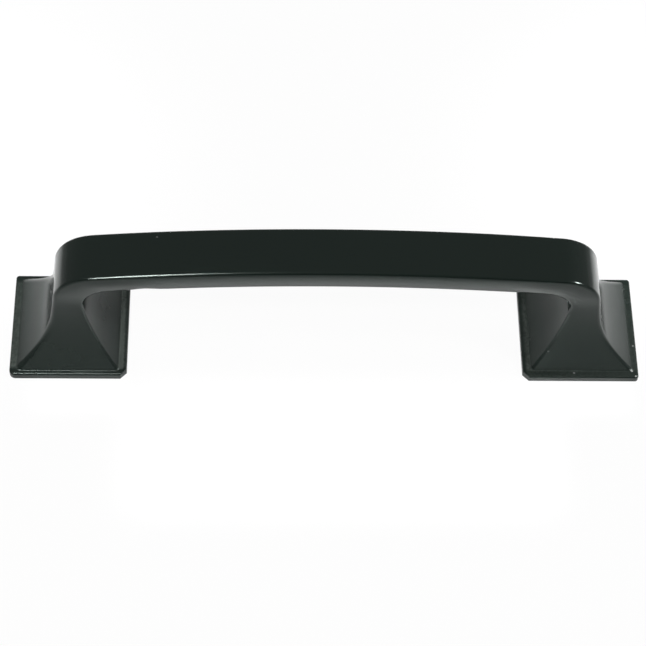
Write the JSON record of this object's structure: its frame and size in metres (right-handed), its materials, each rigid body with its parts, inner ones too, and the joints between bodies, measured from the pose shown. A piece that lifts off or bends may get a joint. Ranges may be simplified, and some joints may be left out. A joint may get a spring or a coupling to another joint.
{
  "type": "bow cabinet pull",
  "caption": "Arched rectangular-bar cabinet pull with rounded bends and legs that flare into square feet, screwed on from behind.",
  "frame": {"origin": "on the mounting plane, at the back of the feet, midway between the two screw holes", "axes": "+X along the bar, through both screw holes; +Y across the bar; +Z out from the drawer front, towards the bar"},
  "size_m": [0.1178, 0.0218, 0.0276],
  "materials": {
    "black_coat": "satin black baked coat on a zinc casting"
  },
  "bodies": {
    "root": {"pull": "black_coat"}
  },
  "joints": []
}
